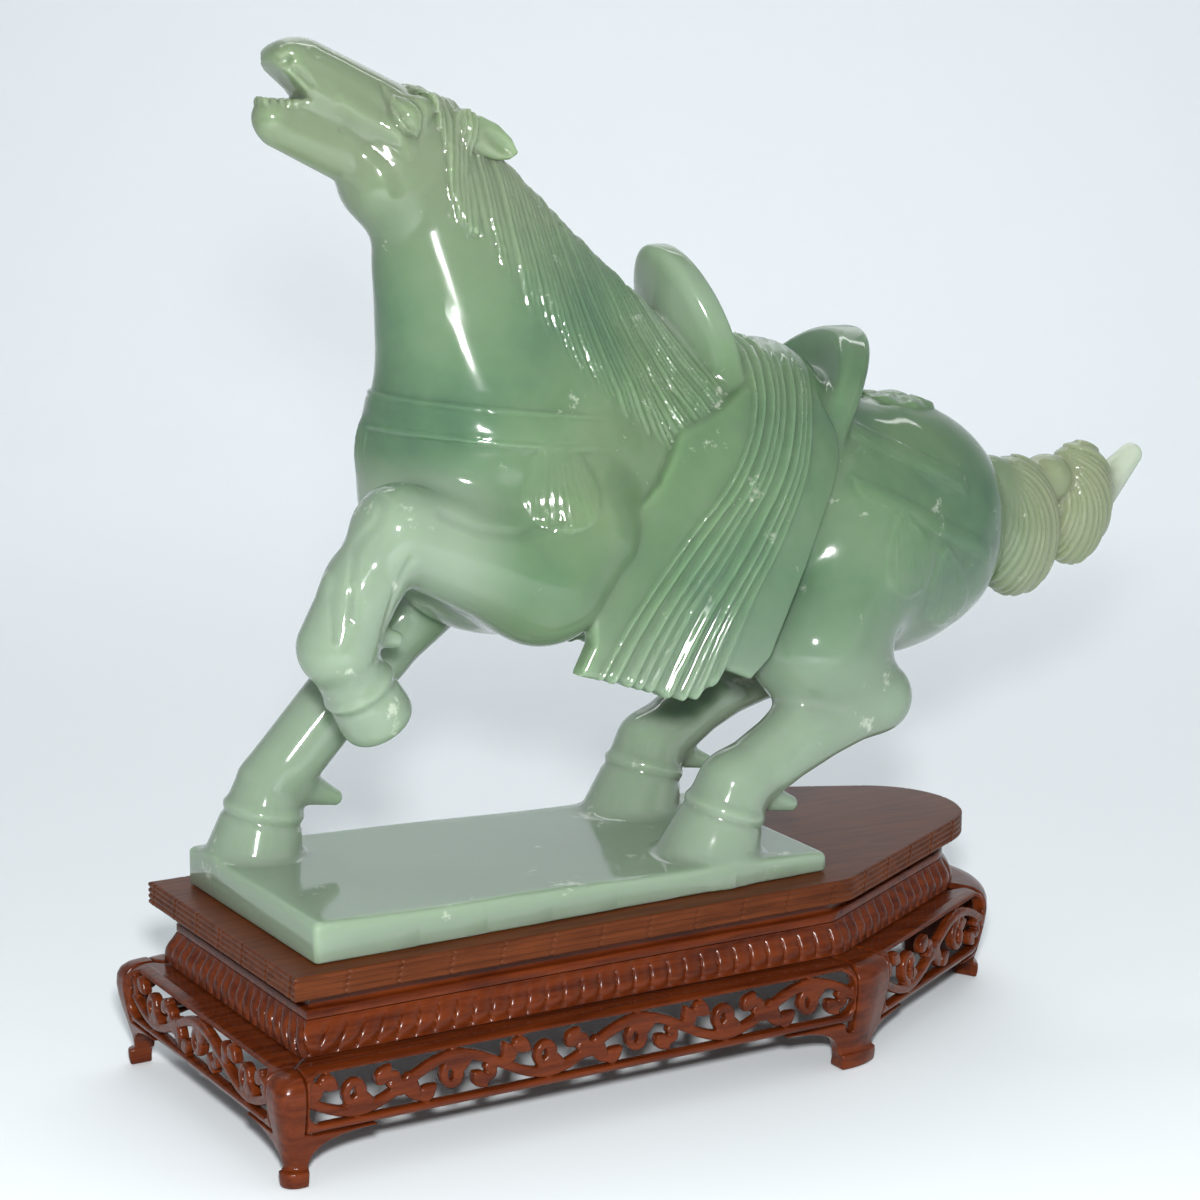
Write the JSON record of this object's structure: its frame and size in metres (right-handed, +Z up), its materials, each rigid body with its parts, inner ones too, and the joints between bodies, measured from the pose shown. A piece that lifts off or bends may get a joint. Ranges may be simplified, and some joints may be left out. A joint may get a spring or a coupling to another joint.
{
  "type": "horse carving",
  "caption": "Striding saddled horse carved in green jade with its base slab, on an openwork wooden stand with bracket feet.",
  "frame": {"origin": "on the floor, under the middle of the whole object's bounding box", "axes": "+Z up from the floor; +X along the stand from its square end to its pointed end, so the horse faces -X; +Y towards the far side of the picture, so the horse's left side faces -Y"},
  "size_m": [0.3384, 0.1172, 0.2942],
  "materials": {
    "jade": "polished nephrite, slightly translucent",
    "board_wood": "matte dark brown varnish",
    "stand_wood": "glossy red-brown varnish"
  },
  "bodies": {
    "root": {"jade_horse": "jade", "stand_top_board": "board_wood", "stand_waist": "stand_wood", "stand_shoulder": "stand_wood", "stand_panel_front": "stand_wood", "stand_panel_right_front": "stand_wood", "stand_panel_right_back": "stand_wood", "stand_panel_back": "stand_wood", "stand_panel_left": "stand_wood", "stand_leg_front_left": "stand_wood", "stand_leg_front_right": "stand_wood", "stand_leg_nose": "stand_wood", "stand_leg_back_right": "stand_wood", "stand_leg_back_left": "stand_wood"}
  },
  "joints": []
}
